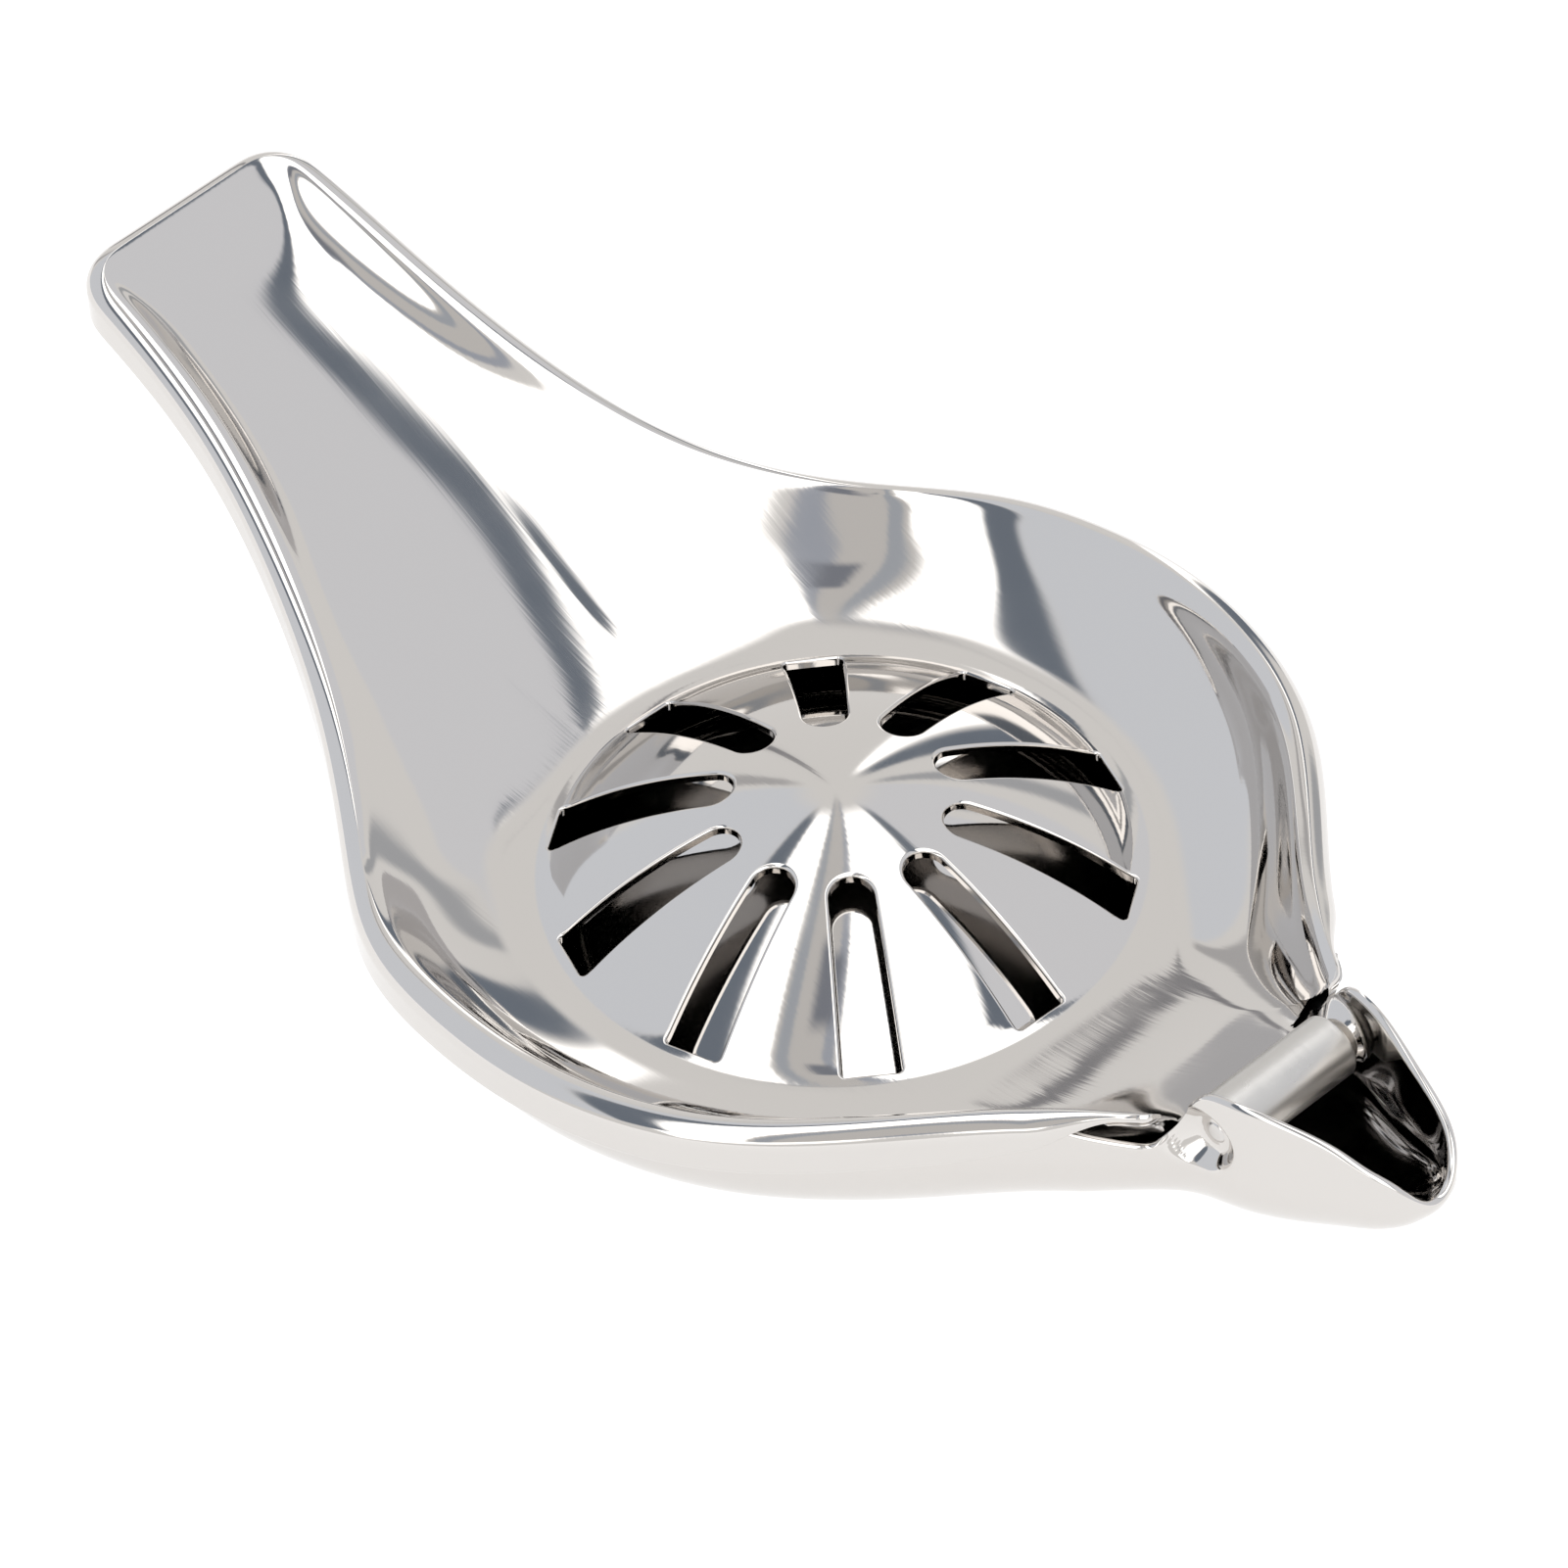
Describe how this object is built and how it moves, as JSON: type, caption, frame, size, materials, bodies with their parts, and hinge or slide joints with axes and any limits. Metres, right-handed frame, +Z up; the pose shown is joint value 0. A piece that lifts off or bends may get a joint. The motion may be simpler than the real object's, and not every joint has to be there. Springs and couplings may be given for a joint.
{
  "type": "lemon squeezer",
  "caption": "Hinged hand press for lemon slices: a slotted strainer dome over a bowl with a pouring beak, two sheet-metal shells with handles joined by a hinge pin",
  "frame": {"origin": "middle of the bounding box in plan, at the underside of the bowl", "axes": "+X runs from the handle to the pouring beak, +Y across, +Z up; the hinge line runs along Y"},
  "size_m": [0.1447, 0.078, 0.0298],
  "materials": {
    "upper_shell": "mirror-polished stainless steel",
    "lower_shell": "mirror-polished stainless steel",
    "hinge_barrel": "satin stainless steel",
    "hinge_pin": "plain steel, lightly brushed"
  },
  "bodies": {
    "lower": {"lower_shell": "lower_shell", "hinge_pin": "hinge_pin"},
    "upper": {"upper_shell": "upper_shell", "hinge_barrel": "hinge_barrel"}
  },
  "joints": [
    {"name": "hinge", "type": "hinge", "parent": "lower", "child": "upper", "pos_m": [0.055, 0, 0.01445], "axis": [0, 1, 0], "range_deg": [0, 66]}
  ]
}
